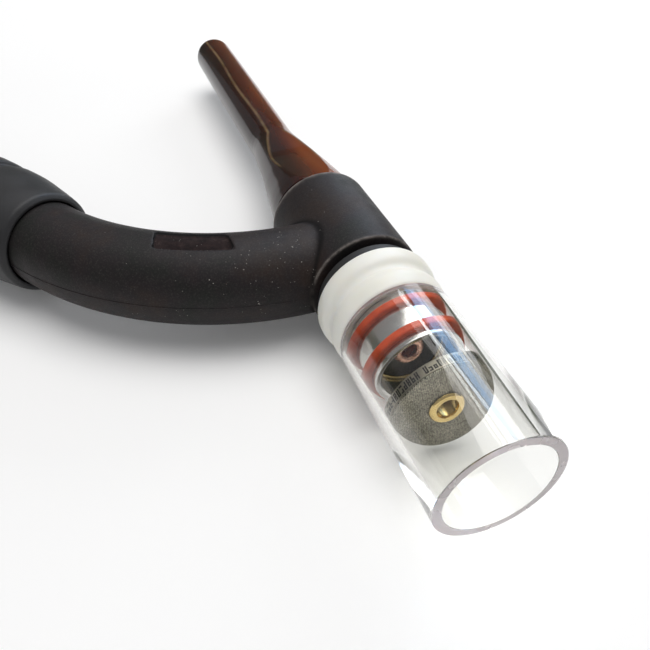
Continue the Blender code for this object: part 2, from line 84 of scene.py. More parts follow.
class Shader:
    """A Principled material, with short calls for the nodes that feed its sockets."""

    def __init__(self, name, **sockets):
        self.material = bpy.data.materials.new(name)
        self.material.use_nodes = True
        self.tree = self.material.node_tree
        self.main = self.tree.nodes["Principled BSDF"]
        self.set(**sockets)

    def set(self, **sockets):
        for name, value in sockets.items():
            self.feed(self.main.inputs[name.replace("_", " ").title().replace("Ior", "IOR")], value)

    def feed(self, socket, value):
        if isinstance(value, bpy.types.NodeSocket):
            self.tree.links.new(value, socket)
        elif isinstance(value, (tuple, list)) and len(value) == 3 and socket.type == "RGBA":
            socket.default_value = (*value, 1)
        else:
            socket.default_value = value

    def node(self, kind, output=0, inputs=(), **settings):
        made = self.tree.nodes.new("ShaderNode" + kind)
        for name, value in settings.items():
            setattr(made, name, value)
        for key, value in dict(inputs).items():
            self.feed(made.inputs[key], value)
        return made.outputs[output]

    def place(self):
        """Coordinates of the piece itself, in metres."""
        return self.node("TexCoord", "Object")

    def axes(self):
        """The piece's own coordinates, one output for each of X, Y and Z."""
        parts = self.tree.nodes.new("ShaderNodeSeparateXYZ")
        self.feed(parts.inputs[0], self.place())
        return parts.outputs

    def maths(self, operation, first, second=0.0, third=0.0):
        return self.node("Math", 0, {0: first, 1: second, 2: third}, operation=operation)

    def scaled(self, vector, scale):
        return self.node("Mapping", 0, {"Vector": vector, "Scale": scale})

    def noise(self, scale, detail=3.0, roughness=0.5, vector=None, output="Fac"):
        return self.node("TexNoise", output, {
            "Vector": vector or self.place(), "Scale": scale, "Detail": detail,
            "Roughness": roughness})

    def ramp(self, factor, *stops):
        """Colours or greys by position: each stop is (position, colour or grey)."""
        made = self.tree.nodes.new("ShaderNodeValToRGB")
        self.feed(made.inputs[0], factor)
        elements = made.color_ramp.elements
        while len(elements) < len(stops):
            elements.new(1.0)
        for element, (position, colour) in zip(elements, stops):
            element.position = position
            shade = colour if isinstance(colour, tuple) else (colour,) * 3
            element.color = (*shade, 1)
        return made.outputs[0]

    def mix(self, factor, first, second, blend="MIX"):
        made = self.tree.nodes.new("ShaderNodeMix")
        made.data_type = "RGBA"
        made.blend_type = blend
        self.feed(made.inputs[0], factor)
        self.feed(made.inputs[6], first)
        self.feed(made.inputs[7], second)
        return made.outputs[2]

    def bump(self, height, distance_mm, strength=1.0, normal=None):
        inputs = {"Height": height, "Distance": distance_mm * MM, "Strength": strength}
        if normal:
            inputs["Normal"] = normal
        return self.node("Bump", 0, inputs)

    def turned_place(self):
        """Coordinates in which marks run round the piece's own X axis, as a lathe leaves them."""
        x, y, z = self.axes()
        radius = self.maths("SQRT", self.maths(
            "ADD", self.maths("POWER", y, 2), self.maths("POWER", z, 2)))
        angle = self.maths("ARCTAN2", z, y)
        return self.node("CombineXYZ", 0, {
            0: x, 1: radius, 2: self.maths("MULTIPLY", angle, LATHE_MARK_DRIFT * MM)})


def rubber_material():
    """Matt black moulding with a clouded bloom, dust near the joint and a stained label recess, with a
    painted highlight along the head's edges and painted shade on the recess walls and where the neck
    meets the head.
    """
    s = Shader("moulded_rubber", specular_ior_level=0.20)
    patchy = s.noise(330, 5, 0.65)
    tone = s.ramp(s.noise(85, 4, 0.6), (0.34, (0.0085, 0.0100, 0.0085)),
                  (0.50, (0.0150, 0.0105, 0.0125)), (0.66, (0.0255, 0.0140, 0.0110)))
    tone = s.mix(s.maths("MULTIPLY", patchy, 0.55), tone, (0.020, 0.019, 0.018))
    grain = s.ramp(s.noise(3000, 3, 0.7), (0.50, 0.0), (0.72, 0.55))
    tone = s.mix(grain, tone, (0.050, 0.045, 0.041))
    parts = s.axes()
    joint = s.node("MapRange", 0, {"Value": parts[1], "From Min": -0.052,
                                   "From Max": -0.018})
    joint = s.maths("MULTIPLY", joint, s.ramp(s.maths("MULTIPLY", parts[1], -100),
                                              (0.86, 0.05), (1.0, 1.0)))
    spread = s.maths("MULTIPLY", s.ramp(s.noise(110, 2), (0.42, 0.0), (0.62, 1.0)), joint)
    dust = 0.0
    bent = s.node("VectorMath", "Vector", {0: s.place(), 1: s.scaled(
        s.noise(2600, 2, output="Color"), (0.0005, 0.0005, 0.0005))}, operation="ADD")
    for scale, size in ((620, 0.10), (1500, 0.16)):
        inputs = {"Vector": bent, "Scale": scale, "Randomness": 1.0}
        near = s.ramp(s.node("TexVoronoi", "Distance", inputs), (size * 0.4, 1.0), (size, 0.0))
        pick = s.node("SeparateColor", 0, {0: s.node("TexVoronoi", "Color", inputs)})
        kept = s.node("Math", 0, {0: pick, 1: s.maths("MULTIPLY", spread, 0.62)},
                      operation="LESS_THAN")
        dust = s.maths("MAXIMUM", s.maths("MULTIPLY", near, kept), dust)
    mottle = s.ramp(s.noise(520, 5, 0.75), (0.36, (0.009, 0.0055, 0.0055)),
                    (0.56, (0.022, 0.013, 0.0125)), (0.74, (0.045, 0.032, 0.028)))
    sunk = s.ramp(s.node("Attribute", "Fac", attribute_name="recess"), (0.30, 0.0), (0.45, 1.0))
    # Painted highlight: a pale grey-brown line along the head's front and rear edges, standing in for
    # light caught there.
    edge_highlight = s.maths("MULTIPLY", s.node("Attribute", "Fac", attribute_name="edge"),
                     s.ramp(s.noise(700, 3), (0.30, 0.15), (0.60, 0.75)))
    tone = s.mix(edge_highlight, s.mix(sunk, tone, mottle), (0.25, 0.22, 0.20))
    # Painted shade: near-black on the label recess's walls and along the fold where the neck meets the
    # head.
    recess_wall_shade = s.ramp(s.node("Attribute", "Fac", attribute_name="recess"), (0.05, 0.0), (0.14, 1.0),
                  (0.34, 1.0), (0.50, 0.0))
    dark = s.maths("MAXIMUM", recess_wall_shade, s.node("Attribute", "Fac", attribute_name="crease_shade"))
    tone = s.mix(s.maths("MULTIPLY", dark, 0.85), tone, (0.003, 0.0028, 0.0028))
    s.set(base_color=s.mix(dust, tone, (0.30, 0.285, 0.26)))
    walls = s.maths("MULTIPLY", s.maths("MAXIMUM", dark, sunk), 0.45)
    s.set(roughness=s.maths("ADD", s.maths("MULTIPLY_ADD", patchy, 0.30, 0.38), walls))
    soft = s.bump(s.noise(420, 3), 0.10, 0.35)
    s.set(normal=s.bump(s.noise(3400, 4, 0.7), 0.06, 0.6, soft))
    return s.material


def glass_material(name, roughness, tint, clarity=1.0):
    s = Shader(name, base_color=tint, ior=1.47, transmission_weight=clarity)
    smear = s.noise(90, 3, 0.6, s.scaled(s.place(), (0.3, 1, 1)))
    s.set(roughness=s.maths("MULTIPLY_ADD", smear, roughness * 0.6, roughness * 0.5))
    s.set(normal=s.bump(s.noise(45, 2), 0.05, 0.08))
    lamp = s.node("LightPath", "Is Shadow Ray")
    clear = s.node("BsdfTransparent", 0, {"Color": (0.975, 0.975, 0.97)})
    mixed = s.node("MixShader", 0, {0: lamp, 1: s.main.outputs[0], 2: clear})
    output = s.tree.nodes["Material Output"]
    s.tree.links.new(mixed, output.inputs["Surface"])
    return s.material


def turned_metal(name, low, high, roughness, depth=0.012):
    """Metal with lathe marks round its axis, a little stain and uneven polish."""
    s = Shader(name, metallic=1.0)
    lines = s.noise(1 / (LATHE_LINE * MM), 2, 0.6, s.turned_place())
    stain = s.noise(260, 3)
    s.set(base_color=s.mix(stain, low, high))
    s.set(roughness=s.maths("MULTIPLY_ADD", s.noise(700, 3), roughness * 0.8, roughness * 0.6))
    s.set(normal=s.bump(lines, depth, 0.5))
    return s.material


def mesh_material(name, light, dark):
    """Plain weave of round wires, across the piece's own X axis, with painted shade where the wires
    dip and in the gaps between them.
    """
    s = Shader(name, metallic=0.85)
    parts = s.axes()
    turn = math.pi / (MESH_WIRE * MM)
    waves = [s.maths("MULTIPLY", part, turn) for part in parts[1:]]
    sine = [s.maths("SINE", wave) for wave in waves]
    cosine = [s.maths("COSINE", wave) for wave in waves]
    over = s.maths("MULTIPLY_ADD", s.maths("MULTIPLY", cosine[0], cosine[1]), 0.4, 0.6)
    under = s.maths("SUBTRACT", 1.2, over)
    warp = s.maths("MULTIPLY", s.maths("ABSOLUTE", sine[0]), over)
    weft = s.maths("MULTIPLY", s.maths("ABSOLUTE", sine[1]), under)
    height = s.maths("MAXIMUM", warp, weft)
    cloud = s.noise(230, 3)
    uneven = s.maths("MULTIPLY_ADD", s.noise(3600, 2, 0.6), 0.9, -0.45)
    # Painted shade: dark where the weave is low, between and under the wires.
    shade = s.ramp(s.maths("ADD", height, uneven), (0.26, dark), (0.88, light))
    s.set(base_color=s.mix(s.maths("MULTIPLY", cloud, 0.5), shade, dark, "MULTIPLY"))
    s.set(roughness=s.maths("MULTIPLY_ADD", cloud, 0.2, 0.38))
    s.set(normal=s.bump(height, 0.06, 0.8))
    return s.material


def silicone_material():
    s = Shader("silicone_red", specular_ior_level=0.22, subsurface_weight=0.25,
               subsurface_radius=(0.6, 0.2, 0.1), subsurface_scale=0.001)
    cloud = s.noise(420, 3)
    s.set(base_color=s.ramp(cloud, (0.3, (0.37, 0.036, 0.005)), (0.7, (0.50, 0.062, 0.009))))
    s.set(roughness=s.maths("MULTIPLY_ADD", cloud, 0.2, 0.38))
    s.set(normal=s.bump(s.noise(2600, 2), 0.02, 0.4))
    return s.material


def insulator_material():
    s = Shader("white_insulator", specular_ior_level=0.45, subsurface_weight=0.35,
               subsurface_radius=(1.0, 0.85, 0.6), subsurface_scale=0.0015)
    cloud = s.noise(120, 3)
    s.set(base_color=s.ramp(cloud, (0.25, (0.80, 0.79, 0.71)), (0.75, (0.88, 0.875, 0.82))))
    s.set(roughness=s.maths("MULTIPLY_ADD", cloud, 0.15, 0.36))
    lines = s.noise(3500, 2, 0.5, s.turned_place())
    s.set(normal=s.bump(lines, 0.012, 0.4, s.bump(s.noise(300, 2), 0.05, 0.15)))
    return s.material


def dark_plastic(name, low, high, roughness, grain_mm=0.25, depth=0.03):
    s = Shader(name, specular_ior_level=0.34)
    cloud = s.noise(180, 4)
    s.set(base_color=s.ramp(cloud, (0.3, low), (0.7, high)))
    s.set(roughness=s.maths("MULTIPLY_ADD", cloud, 0.18, roughness))
    s.set(normal=s.bump(s.noise(1 / (grain_mm * MM), 3, 0.6), depth, 0.5))
    return s.material


def phenolic_material():
    """Glossy phenolic with painted light: lighter and warmer towards its +Y side and top, and painted
    highlight streaks along the shaft and the flats' edges.
    """
    s = Shader("brown_phenolic", specular_ior_level=0.30, subsurface_weight=0.3,
               subsurface_radius=(1.0, 0.22, 0.05), subsurface_scale=0.002)
    parts = s.axes()
    drift = s.noise(160, 3, 0.5, s.scaled(s.place(), (0.25, 1, 1)))
    # Painted light: the colour grows lighter and warmer towards the piece's +Y side and its top.
    side = s.maths("MULTIPLY_ADD", parts[1], 72, s.maths("MULTIPLY_ADD", drift, 0.3, 0.35))
    side = s.maths("MULTIPLY_ADD", parts[2], 42, side)
    tone = s.ramp(side, (0.42, (0.014, 0.0030, 0.0020)), (0.60, (0.032, 0.0060, 0.0026)),
                  (0.80, (0.075, 0.014, 0.0045)), (1.0, (0.17, 0.036, 0.006)))
    # Painted highlight: pale tan streaks along the shaft and the flats' edges, standing in for
    # reflections.
    streak_highlight = s.maths("MULTIPLY", s.node("Attribute", "Fac", attribute_name="streak_highlight"),
                   s.ramp(s.noise(240, 3), (0.30, 0.45), (0.60, 1.0)))
    s.set(base_color=s.mix(streak_highlight, tone, (0.19, 0.125, 0.068)))
    s.set(roughness=s.maths("MULTIPLY_ADD", s.noise(70, 3), 0.14, 0.06))
    s.set(normal=s.bump(drift, 0.03, 0.15))
    return s.material


def make_materials():
    steel_light, steel_dark = (0.72, 0.67, 0.54), (0.020, 0.018, 0.013)
    return {
        "clear_glass": glass_material("clear_glass", 0.012, (0.945, 0.945, 0.922)),
        "glass_rim": glass_material("glass_rim", 0.34, (0.82, 0.75, 0.76), 0.5),
        "steel_mesh": mesh_material("steel_mesh", steel_light, steel_dark),
        # Painted shade: a darker copy of the steel mesh, for the lens screens that sit in shadow deep
        # inside the cup.
        "shaded_lens_mesh": mesh_material("shaded_lens_mesh", (0.20, 0.18, 0.14), (0.012, 0.011, 0.010)),
        "etched_steel": turned_metal("etched_steel", (0.19, 0.172, 0.135), (0.31, 0.285, 0.225), 0.36),
        "brass": turned_metal("brass", (0.55, 0.39, 0.14), (0.80, 0.62, 0.29), 0.20),
        "polished_steel": turned_metal("polished_steel", (0.50, 0.49, 0.48), (0.68, 0.67, 0.66),
                                       0.17, depth=0.010),
        "copper": turned_metal("copper", (0.72, 0.38, 0.27), (0.90, 0.58, 0.46), 0.26),
        "silicone_red": silicone_material(),
        "white_insulator": insulator_material(),
        "gasket_rubber": dark_plastic("gasket_rubber", (0.014, 0.014, 0.015), (0.03, 0.03, 0.03),
                                      0.45),
        "moulded_rubber": rubber_material(),
        "brown_phenolic": phenolic_material(),
        "seal_rubber": dark_plastic("seal_rubber", (0.012, 0.012, 0.012), (0.02, 0.02, 0.02), 0.35),
        "handle_plastic": dark_plastic("handle_plastic", (0.016, 0.016, 0.017),
                                       (0.026, 0.026, 0.028), 0.40, 0.35, 0.05),
        "bush_rubber": dark_plastic("bush_rubber", (0.016, 0.016, 0.016), (0.026, 0.025, 0.024),
                                    0.50),
        "etch": dark_plastic("etch", (0.004, 0.003, 0.0025), (0.012, 0.010, 0.008), 0.7),
    }


MATERIALS = make_materials()


# ---------------------------------------------------------------- shapes

def fillet(corners, steps=4):
    """Rounds an outline of (station, radius, rounding) corners that closes on itself."""
    points = []
    count = len(corners)
    for i, (station, radius, rounding) in enumerate(corners):
        here = Vector((station, radius))
        before = Vector(corners[i - 1][:2]) - here
        after = Vector(corners[(i + 1) % count][:2]) - here
        reach = min(rounding, before.length * 0.49, after.length * 0.49)
        if reach < 1e-4:
            points.append(tuple(here))
            continue
        first, last = here + before.normalized() * reach, here + after.normalized() * reach
        for k in range(steps + 1):
            t = k / steps
            point = first * (1 - t) ** 2 + here * 2 * t * (1 - t) + last * t * t
            points.append(tuple(point))
    return points


def smooth_curve(points, steps=6):
    """Catmull-Rom curve through (station, radius) points, ends included."""
    ends = [2 * Vector(points[0]) - Vector(points[1]), *map(Vector, points),
            2 * Vector(points[-1]) - Vector(points[-2])]
    curve = []
    for a, b, c, d in zip(ends, ends[1:], ends[2:], ends[3:]):
        for k in range(steps):
            t = k / steps
            curve.append(tuple(0.5 * (2 * b + (c - a) * t + (2 * a - 5 * b + 4 * c - d) * t ** 2
                                      + (3 * b - a - 3 * c + d) * t ** 3)))
    return curve + [tuple(points[-1])]


def mesh_object(name, vertices, faces, matrix, material, sharp=35):
    mesh = bpy.data.meshes.new(name)
    mesh.from_pydata(vertices, [], faces)
    bm = bmesh.new()
    bm.from_mesh(mesh)
    bmesh.ops.recalc_face_normals(bm, faces=bm.faces)
    bm.to_mesh(mesh)
    bm.free()
    mesh.transform(matrix.to_3x3().to_4x4())
    mesh.shade_smooth()
    mesh.set_sharp_from_angle(angle=math.radians(sharp))
    mesh.materials.append(MATERIALS[material])
    item = bpy.data.objects.new(name, mesh)
    bpy.context.scene.collection.objects.link(item)
    item.location = matrix.translation
    return item


def lathe(name, outline, matrix, material, sides=144, radius_at=None, sharp=35):
    """Closed body turned round the X axis of the matrix, from (station, radius) points in mm.

    An outline that starts and ends on the axis is capped by its poles, any other closes to a ring.
    """
    poled = outline[0][1] == 0 and outline[-1][1] == 0
    rows = outline[1:-1] if poled else outline
    vertices = []
    for station, radius in rows:
        for k in range(sides):
            angle = TAU * k / sides
            r = radius_at(station, radius, angle) if radius_at else radius
            vertices.append((station * MM, r * math.cos(angle) * MM, r * math.sin(angle) * MM))
    faces = []
    for i in range(len(rows) - 1 if poled else len(rows)):
        first, second = i * sides, (i + 1) % len(rows) * sides
        for k in range(sides):
            after = (k + 1) % sides
            faces.append((first + k, first + after, second + after, second + k))
    if poled:
        for pole, row in ((outline[0], 0), (outline[-1], len(rows) - 1)):
            vertices.append((pole[0] * MM, 0, 0))
            faces += [(row * sides + k, row * sides + (k + 1) % sides, len(vertices) - 1)
                      for k in range(sides)]
    return mesh_object(name, vertices, faces, matrix, material, sharp)


def ring(front, rear, outer, inner, rounding=0.1):
    return fillet([(front, outer, rounding), (rear, outer, rounding), (rear, inner, rounding),
                   (front, inner, rounding)])


def dress(item, body, slot, *nodes):
    """Rides on a CAD body and stands for CAD nodes; the slot is not used."""
    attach(item, body)
    if nodes:
        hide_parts(*nodes)
    return item


def stand_for(node, outline, material, body, slot=None, axis=HEAD_AXIS, **options):
    """A finely turned piece in place of one CAD node."""
    item = lathe(node + "_fine", outline, axis, material, **options)
    return dress(item, body, slot or material, node)


# ---------------------------------------------------------------- front end

def make_cup():
    outer, bore, length = 11.25, 9.52, 35.8
    outline = fillet([(0, outer, 0.28), (-length, outer, 0.35), (-length, bore, 0.35),
                      (0, bore, 0.22)], 6)
    cup = stand_for("glass_cup", outline, "clear_glass", "cup", sides=224, sharp=80)
    cup.data.materials.append(MATERIALS["glass_rim"])
    for face in cup.data.polygons:
        if abs(face.normal.x) > 0.9:
            face.material_index = 1


def make_diffuser():
    radius, barrel = 9.3, 2.25
    stand_for("diffuser_screen_front", ring(-16.5, -16.8, radius, barrel + 0.1), "steel_mesh",
              "diffuser")
    stand_for("diffuser_skirt", ring(-16.9, -18.9, radius, radius - 0.4), "etched_steel",
              "diffuser", sides=192)
    stand_for("diffuser_screen_rear", ring(-18.4, -18.7, radius - 0.5, barrel + 0.1),
              "steel_mesh", "diffuser")
    flange = fillet([
        (-15.95, barrel + 0.15, 0.2), (-15.98, 3.0, 0.4), (-16.4, 3.3, 0.12), (-16.4, barrel, 0.05),
        (-18.8, barrel, 0.05), (-18.8, 2.9, 0.1), (-19.05, 2.85, 0.15), (-19.1, 2.05, 0.2),
        (-16.4, 2.0, 0.1), (-16.05, 2.05, 0.1)], 5)
    stand_for("diffuser_eyelet", flange, "brass", "diffuser", sides=96)


def make_etched_marks():
    """Meaningless strokes round the diffuser's band, as a worn etching would leave."""
    rng = random.Random(7)
    radius, count, low, high = 9.3, 76, -18.55, -17.15
    vertices, faces = [], []

    def bar(angles, stations):
        base = len(vertices)
        for r in (radius - 0.05, radius + 0.012):
            for i, j in ((0, 0), (1, 0), (1, 1), (0, 1)):
                vertices.append((stations[j] * MM, r * math.cos(angles[i]) * MM,
                                 r * math.sin(angles[i]) * MM))
        faces.extend(tuple(base + k for k in face) for face in (
            (3, 2, 1, 0), (4, 5, 6, 7), (0, 1, 5, 4), (1, 2, 6, 5), (2, 3, 7, 6), (3, 0, 4, 7)))

    for i in range(count):
        if i % 13 == 12:
            continue
        left, width, pen = TAU * i / count, TAU / count * 0.76, 0.026
        middle = (low + high) / 2
        uprights = rng.choice(((0, 1), (0, 1), (0,), (0.5,), (1,)))
        for place in uprights:
            start = left + place * (width - pen)
            bar((start, start + pen), rng.choice(((low, high), (low, high), (middle, high))))
        for station in rng.sample((low, middle - 0.14, high - 0.28), rng.choice((1, 2, 2))):
            bar((left, left + width), (station, station + 0.28))
    marks = mesh_object("diffuser_marks", vertices, faces, HEAD_AXIS, "etch")
    dress(marks, "diffuser", "etched_steel")


def make_adapter():
    outer, bore, front = 8.48, 7.2, -24.6
    corners = [(front, bore + 0.55, 0.1), (front, outer - 0.12, 0.12), (front - 0.15, outer, 0.1)]
    for station in (-26.9, -33.4):
        corners += [(station + 0.82, outer, 0.08), (station + 0.82, 7.9, 0.1),
                    (station - 0.82, 7.9, 0.1), (station - 0.82, outer, 0.08)]
    corners += [(-35.8, outer, 0.1), (-35.8, outer - 0.5, 0.05), (-43.5, outer - 0.5, 0.1),
                (-43.5, bore, 0.1), (front - 0.5, bore, 0.15)]
    stand_for("cup_adapter", fillet(corners), "polished_steel", "gas_lens", sides=192)
    for node, station in (("cup_o_ring_front", -26.9), ("cup_o_ring_rear", -33.4)):
        outline = fillet([(station + 0.78, 9.505, 0.45), (station - 0.78, 9.505, 0.45),
                          (station - 0.78, 7.93, 0.6), (station + 0.78, 7.93, 0.6)], 6)
        stand_for(node, outline, "silicone_red", "gas_lens", sides=192)


def make_gas_lens():
    snug, nose = 7.1, 2.9
    stand_for("lens_screen_front", ring(-30.5, -30.8, snug, nose + 0.1), "shaded_lens_mesh", "gas_lens",
              "steel_mesh")
    stand_for("lens_screen_rear", ring(-32.2, -32.5, snug, nose + 0.1), "shaded_lens_mesh", "gas_lens",
              "steel_mesh")
    stand_for("lens_retainer", ring(-29.9, -30.4, snug, snug - 0.55, 0.2), "brass", "gas_lens")
    tip = fillet([
        (-29.3, 1.85, 0.15), (-29.3, 2.35, 0.2), (-29.8, nose, 0.25), (-37.0, nose, 0.1),
        (-37.0, 2.6, 0.05), (-31.2, 2.6, 0.1), (-30.2, 1.5, 0.1), (-29.6, 1.5, 0.1)])
    stand_for("lens_nose", tip, "copper", "gas_lens", sides=80)
    body = fillet([
        (-33.0, snug, 0.1), (-45.7, snug, 0.2), (-45.7, 5.2, 0.1), (-59.4, 5.2, 0.1),
        (-60.0, 4.6, 0.1), (-60.0, 2.6, 0.1), (-37.3, 2.6, 0.1), (-37.3, 3.0, 0.1),
        (-33.0, 3.0, 0.1)])
    stand_for("lens_body", body, "brass", "gas_lens", sides=80,
              radius_at=lambda s, r, a: thread(s, r, a, 5.2, -59.2, -46.5))


def thread(station, radius, angle, crest, low, high):
    """Sinks a helical groove into the outside of a stem between two stations."""
    if radius < crest - 0.05 or not low < station < high:
        return radius
    return radius - THREAD_DEPTH * (0.5 - 0.5 * math.cos(TAU * station / THREAD_PITCH - angle))


def make_insulator():
    outside = smooth_curve([
        (-36.1, 10.75), (-36.5, 11.05), (-37.6, 11.28), (-39.1, 11.42), (-40.2, 11.18),
        (-41.0, 10.80), (-41.9, 10.95), (-42.9, 11.68), (-43.9, 11.95), (-45.2, 11.98),
        (-46.1, 11.75), (-46.45, 11.3)])
    inside = [(-46.5, 11.0), (-46.5, 7.4), (-46.4, 7.3), (-43.8, 7.3), (-43.8, 8.08),
              (-36.3, 8.08), (-36.1, 8.3)]
    stand_for("insulator", outside + inside, "white_insulator", "insulator", sides=192, sharp=50)


def make_gasket():
    outline = fillet([
        (-46.8, 10.66, 0.25), (-49.0, 10.66, 0.2), (-49.0, 9.16, 0.1), (-50.2, 9.16, 0.1),
        (-50.2, 5.5, 0.05), (-46.8, 5.5, 0.05)])
    stand_for("front_gasket", outline, "gasket_rubber", "torch", sides=144)


# ---------------------------------------------------------------- back cap

CAP_RIDGE = ((-135, 5.95), (-116, 5.9), (-113.5, 5.98), (-111, 6.22), (-99, 7.82), (-92, 8.75),
             (-88, 9.2), (-84.5, 9.62), (-82, 9.85), (-79.3, 9.98))
CAP_FLAT = ((-135, 6.6), (-118, 5.98), (-112, 5.9), (-100, 5.94), (-97, 6.15), (-94, 6.65),
            (-85.5, 8.35), (-79, 9.65))


CAP_FLAT_ANGLE = math.radians(92.5)
CAP_BELL_FRONT = -79.3


def cap_turn(angle):
    """Angle from the middle of the nearest of the cap's three flats."""
    third = TAU / 3
    return (angle - CAP_FLAT_ANGLE + third / 2) % third - third / 2


def cap_radius(station, radius, angle):
    """Three long flats, run out to the full round at the base, between ridges of the bell."""
    if station > CAP_BELL_FRONT or station < -130 or radius < 5.5:
        return radius
    flat = np.interp(station, *zip(*CAP_FLAT)) / math.cos(cap_turn(angle))
    soft = 0.12
    blend = min(max(0.5 + 0.5 * (flat - radius) / soft, 0), 1)
    return flat + (radius - flat) * blend - soft * blend * (1 - blend)


def cap_streak_highlight(station, angle):
    """How much painted highlight streak is at this place: along the shaft and the flats' edges."""
    ridge, flat = (np.interp(station, *zip(*table)) for table in (CAP_RIDGE, CAP_FLAT))
    if station > -111:
        away = (abs(cap_turn(angle)) - math.acos(min(1, flat / ridge))) * ridge
        return math.exp(-(away / 0.30) ** 2) * min(max((-88 - station) / 6, 0), 1)
    middle = math.radians(111 + 2.5 * math.sin((station + 111) / 7))
    away = (angle - middle + math.pi) % TAU - math.pi
    return math.exp(-(away * ridge / 0.32) ** 2)


def make_back_cap():
    stem = fillet([
        (-80.3, 1.9, 0), (-80.3, 3.0, 0.1), (-67.5, 3.0, 0.1), (-67.5, 5.8, 0.2),
        (-68.1, 6.3, 0.1), (-74.0, 6.3, 0.1), (-74.0, 5.35, 0.1), (-76.0, 5.35, 0.1),
        (-76.0, 6.3, 0.1), (-79.05, 6.3, 0.1), (-79.05, 9.7, 0.25), (-79.35, 9.98, 0)])
    bell = [(station, np.interp(station, *zip(*CAP_RIDGE)))
            for station in np.linspace(-79.5, -130, 110)]
    end, shaft = -190.0, 5.95
    tube = [(station, shaft) for station in np.linspace(-132, end + shaft + 1, 20)]
    dome = [(end + shaft * (1 - math.sin(math.pi / 2 * i / 12)),
             shaft * math.cos(math.pi / 2 * i / 12)) for i in range(12)]
    outline = [(-184.0, 0), (-184.0, 1.9)] + stem + bell + tube + dome + [(end, 0)]

    def shape(station, radius, angle):
        return cap_radius(station, thread(station, radius, angle, 6.3, -73.5, -68.5), angle)

    cap = stand_for("back_cap", outline, "brown_phenolic", "back_cap", sides=180, radius_at=shape)
    # Mask for the painted highlight streaks along the shaft and the flats' edges.
    streak_highlight = [cap_streak_highlight(v.co.x / MM, math.atan2(v.co.z, v.co.y)) for v in cap.data.vertices]
    cap.data.attributes.new("streak_highlight", "FLOAT", "POINT").data.foreach_set("value", streak_highlight)
    cord, centre = 0.9, 7.25 - 0.9
    seal = [(-75.0 + cord * math.cos(TAU * k / 16), centre + cord * math.sin(TAU * k / 16))
            for k in range(16)]
    stand_for("back_cap_o_ring", seal, "seal_rubber", "cap_seal", sides=96)


# ---------------------------------------------------------------- handle

def make_handle():
    front, length, outer, bore = -2.0, 112.0, 12.5, 9.9
    rear = front - length
    corners = [(front, 10.05, 0.2), (front - 0.8, 11.0, 0.5), (front - 3.0, 11.4, 1.2),
               (front - 11.0, outer, 2.5)]
    for i in range(8):
        start = -18.0 - 9.0 * i
        corners += [(start, outer, 0.7), (start - 0.6, outer - 0.9, 0.35),
                    (start - 3.6, outer - 0.9, 0.35), (start - 4.2, outer, 0.7)]
    corners += [(rear, outer, 1.3), (rear, bore, 0.2), (-33.0, bore, 0.1), (-32.0, 9.56, 0.1),
                (front, 9.56, 0.2)]
    stand_for("handle", fillet(corners, 5), "handle_plastic", "handle", axis=HANDLE_AXIS,
              sides=168)
    bush = fillet([
        (-106.3, 9.8, 0.1), (-114.3, 9.8, 0.05), (-114.3, 10.9, 0.2), (-116.3, 10.9, 0.9),
        (-117.1, 10.1, 0.5), (-117.1, 7.0, 0.6), (-106.3, 7.0, 0.1)])
    stand_for("cable_bush", bush, "bush_rubber", "handle", axis=HANDLE_AXIS, sides=120)


make_cup()
make_diffuser()
make_etched_marks()
make_adapter()
make_gas_lens()
make_insulator()
make_gasket()
make_back_cap()
make_handle()


# ---------------------------------------------------------------- rubber head and neck

BEND_LENGTH = NECK_STRAIGHT + BEND_RADIUS * BEND_ANGLE
BEND_CENTRE = np.array([NECK_STATION - BEND_RADIUS, -NECK_STRAIGHT, 0])
END_WAY = np.array([-math.sin(BEND_ANGLE), -math.cos(BEND_ANGLE), 0])
END_SIDE = np.array([math.cos(BEND_ANGLE), -math.sin(BEND_ANGLE), 0])
LABEL_ALONG, LABEL_SIDE, LABEL_HALF = 31.7, -0.5, (7.5, 2.9)
LABEL_DEPTH, LABEL_SHEAR = 0.6, 0.35


def neck_point(distance):
    """Point of the neck's centreline and its way along, at a distance from the head axis."""
    if distance <= NECK_STRAIGHT:
        return np.array([NECK_STATION, -distance, 0]), np.array([0, -1.0, 0])
    angle = min((distance - NECK_STRAIGHT) / BEND_RADIUS, BEND_ANGLE)
    side = np.array([math.cos(angle), -math.sin(angle), 0])
    way = np.array([-math.sin(angle), -math.cos(angle), 0])
    return BEND_CENTRE + BEND_RADIUS * side + way * max(distance - BEND_LENGTH, 0), way


def neck_local(points):
    """Distance along the neck, side and height of each point, in mm."""
    offset = points - BEND_CENTRE
    angle = np.arctan2(-offset[:, 1], offset[:, 0])
    along = np.where(angle <= 0, -points[:, 1], NECK_STRAIGHT + BEND_RADIUS * angle)
    side = np.where(angle <= 0, offset[:, 0], np.hypot(offset[:, 0], offset[:, 1])) - BEND_RADIUS
    beyond = offset @ END_WAY
    straight = (beyond > 0) & (points[:, 1] < -NECK_STRAIGHT)
    along = np.where(straight, BEND_LENGTH + beyond, along)
    side = np.where(straight, offset @ END_SIDE - BEND_RADIUS, side)
    return along, side, points[:, 2]


def smooth_min(a, b, k):
    h = np.clip(0.5 + 0.5 * (b - a) / k, 0, 1)
    return b + (a - b) * h - k * h * (1 - h)


